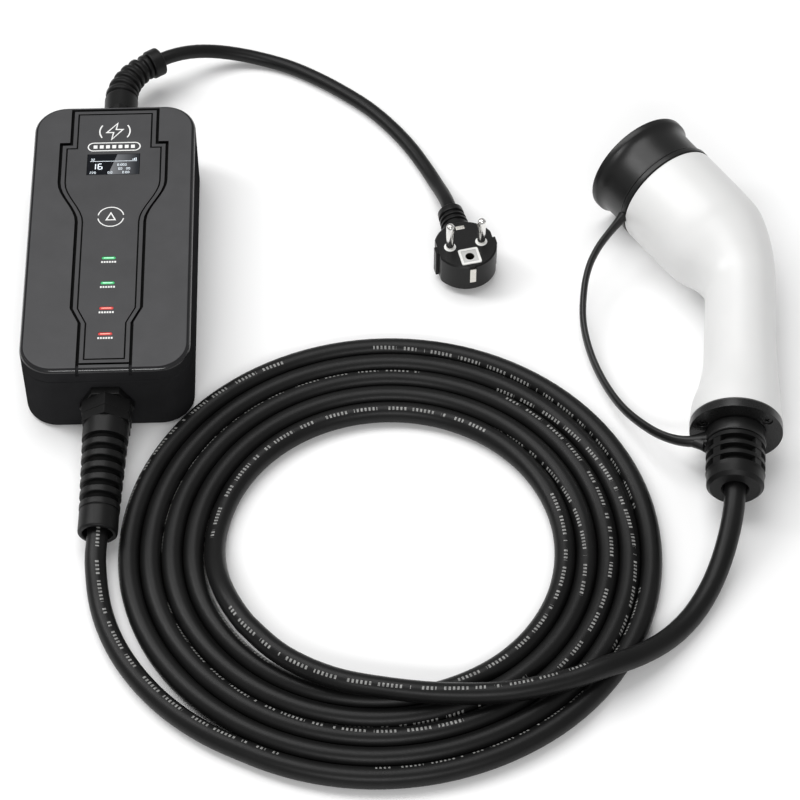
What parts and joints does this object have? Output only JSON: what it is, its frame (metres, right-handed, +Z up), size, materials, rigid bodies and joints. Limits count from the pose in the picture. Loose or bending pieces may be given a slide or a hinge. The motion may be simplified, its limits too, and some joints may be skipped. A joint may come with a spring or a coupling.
{
  "type": "portable ev charger",
  "caption": "Portable charger for electric cars: flat control box with display and indicators, short mains cord with earthed plug, and a coiled cable to a bent vehicle connector with dust cap.",
  "frame": {"origin": "middle of the control box's underside, on the floor", "axes": "+X to the right across the control box, toward the coil; +Y along the box, from the charging cable's end to the mains cord's end; +Z up from the floor"},
  "size_m": [0.4334, 0.5389, 0.0681],
  "materials": {
    "shell_black": "fine-textured matt",
    "cover_grey": "fine-textured matt",
    "seal_rubber": "matt",
    "screw_steel": "plated",
    "panel_grey": "fine-textured matt",
    "display_glass": "gloss",
    "display_dark": "matt",
    "led_green": "translucent",
    "led_red": "translucent",
    "touch_pad": "plated",
    "circuit_green": "satin",
    "component_dark": "matt",
    "winding": "satin",
    "terminal_green": "matt",
    "core_blue": "satin",
    "core_brown": "satin",
    "gland_black": "satin",
    "boot_black": "satin",
    "plug_black": "satin",
    "pin_metal": "polished",
    "plug_white": "satin",
    "earth_metal": "plated",
    "handle_white": "gloss",
    "connector_black": "satin",
    "contact_metal": "plated",
    "cap_black": "satin",
    "cable_black": "satin"
  },
  "bodies": {
    "charger": {"bottom_shell": "shell_black", "top_cover": "cover_grey", "cover_gasket": "seal_rubber", "cover_screws": "screw_steel", "front_panel": "panel_grey", "display_window": "display_glass", "display_module": "display_dark", "led_power": "led_green", "led_charge": "led_green", "led_fault_1": "led_red", "led_fault_2": "led_red", "touch_sensor": "touch_pad", "indicator_board": "circuit_green", "circuit_board": "circuit_green", "power_relays": "component_dark", "current_transformer": "component_dark", "supply_transformer": "winding", "terminal_blocks": "terminal_green", "input_cores": "core_blue", "output_cores": "core_brown", "board_screws": "screw_steel", "input_gland_body": "gland_black", "input_gland_boot": "boot_black", "input_gland_locknut": "gland_black", "input_gland_seal": "seal_rubber", "output_gland_body": "gland_black", "output_gland_boot": "boot_black", "output_gland_locknut": "gland_black", "output_gland_seal": "seal_rubber", "plug_body": "plug_black", "line_pin": "pin_metal", "neutral_pin": "pin_metal", "pin_collars": "plug_white", "plug_face_insert": "plug_white", "plug_earth_clip": "earth_metal", "handle_shell": "handle_white", "nose_shroud": "connector_black", "contact_carrier": "connector_black", "power_contacts": "contact_metal", "signal_contacts": "contact_metal", "connector_cores": "core_brown", "tail_cover": "connector_black", "tail_gasket": "seal_rubber", "tail_screws": "screw_steel", "tail_boot": "boot_black", "cap_tether": "cap_black", "input_cord": "cable_black", "output_lead": "cable_black", "cable_coil": "cable_black", "connector_lead": "cable_black"},
    "cap": {"dust_cap": "cap_black"}
  },
  "joints": [
    {"name": "cap_pull", "type": "slide", "parent": "charger", "child": "cap", "axis": [-0.5446, 0.838, 0.0338], "range_m": [0, 0.04], "deforming": ["cap_tether"]}
  ]
}
